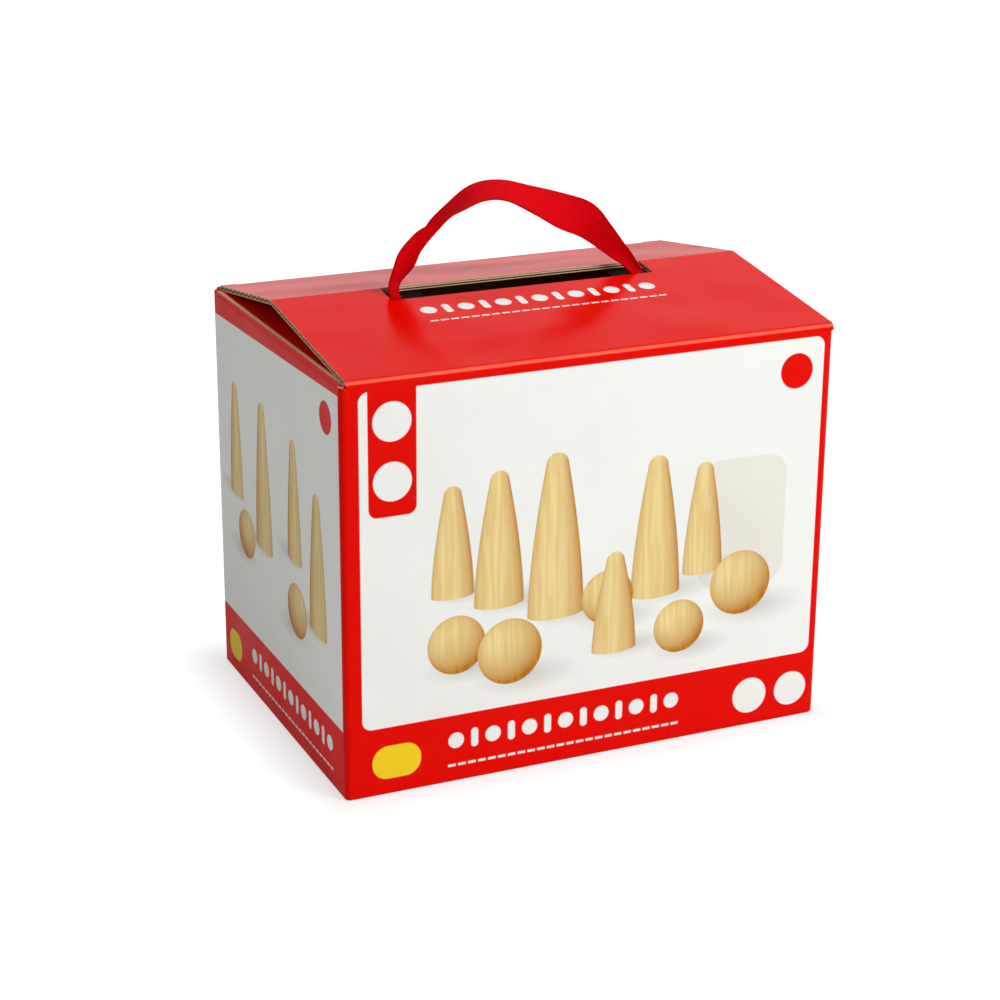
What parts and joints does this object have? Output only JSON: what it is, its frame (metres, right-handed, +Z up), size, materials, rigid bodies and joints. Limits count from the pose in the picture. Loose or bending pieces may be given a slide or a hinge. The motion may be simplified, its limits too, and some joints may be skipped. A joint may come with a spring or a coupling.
{
  "type": "boxed wooden skittles set",
  "caption": "Gabled carton with a ribbon carry handle and tuck lid, holding turned wooden pins, wooden balls and a folded cotton bag.",
  "frame": {"origin": "middle of the carton's underside", "axes": "+Z up, the printed front wall faces -Y, +X to the right as seen from the front"},
  "size_m": [0.258, 0.186, 0.2717],
  "materials": {
    "printed_board": "corrugated board printed red outside with a gloss varnish, bare brown inside",
    "plain_board": "bare brown corrugated board",
    "pin_wood": "turned pale wood with a clear satin varnish",
    "ball_wood": "turned pale wood with a clear satin varnish",
    "calico": "unbleached plain-weave cotton",
    "ribbon": "ribbed woven ribbon",
    "anchor_plastic": "moulded, matte"
  },
  "bodies": {
    "case": {"carton_walls": "printed_board", "glue_lap": "plain_board", "front_bottom_flap": "printed_board", "back_bottom_flap": "printed_board", "left_bottom_flap": "plain_board", "right_bottom_flap": "plain_board", "pin_1": "pin_wood", "pin_2": "pin_wood", "pin_3": "pin_wood", "pin_4": "pin_wood", "pin_5": "pin_wood", "pin_6": "pin_wood", "pin_7": "pin_wood", "pin_8": "pin_wood", "pin_9": "pin_wood", "pin_10": "pin_wood", "ball_1": "ball_wood", "ball_2": "ball_wood", "tote_bag": "calico", "left_bag_strap": "calico", "right_bag_strap": "calico"},
    "front_roof": {"front_roof_panel": "printed_board", "left_anchor_plate": "anchor_plastic", "right_anchor_plate": "anchor_plastic"},
    "rear_roof": {"rear_roof_panel": "printed_board"},
    "tuck": {"tuck_flap": "printed_board"},
    "left_dust": {"left_dust_flap": "printed_board"},
    "right_dust": {"right_dust_flap": "printed_board"},
    "handle": {"handle_ribbon": "ribbon"}
  },
  "joints": [
    {"name": "lid_open", "type": "hinge", "parent": "case", "child": "front_roof", "pos_m": [0, -0.093, 0.2088], "axis": [1, 0, 0], "range_deg": [0, 210]},
    {"name": "ridge_fold", "type": "hinge", "parent": "front_roof", "child": "rear_roof", "pos_m": [0, 0.009, 0.222], "axis": [1, 0, 0], "range_deg": [0, 17]},
    {"name": "tuck_fold", "type": "hinge", "parent": "rear_roof", "child": "tuck", "pos_m": [0, 0.0901, 0.2093], "axis": [1, 0, 0], "range_deg": [0, 70]},
    {"name": "left_dust_fold", "type": "hinge", "parent": "case", "child": "left_dust", "pos_m": [-0.129, 0, 0.208], "axis": [0, -1, 0], "range_deg": [0, 95]},
    {"name": "right_dust_fold", "type": "hinge", "parent": "case", "child": "right_dust", "pos_m": [0.129, 0, 0.208], "axis": [0, 1, 0], "range_deg": [0, 95]},
    {"name": "handle_swing", "type": "hinge", "parent": "front_roof", "child": "handle", "pos_m": [0, 0.0017, 0.2198], "axis": [1, 0, 0], "range_deg": [-15, 15], "stiffness_Nm_per_rad": 0.01}
  ],
  "couplings": [
    {"joint": "ridge_fold", "follows": "lid_open", "ratio": 0.08},
    {"joint": "tuck_fold", "follows": "lid_open", "ratio": 0.33},
    {"joint": "left_dust_fold", "follows": "lid_open", "ratio": 0.45},
    {"joint": "right_dust_fold", "follows": "lid_open", "ratio": 0.45}
  ]
}
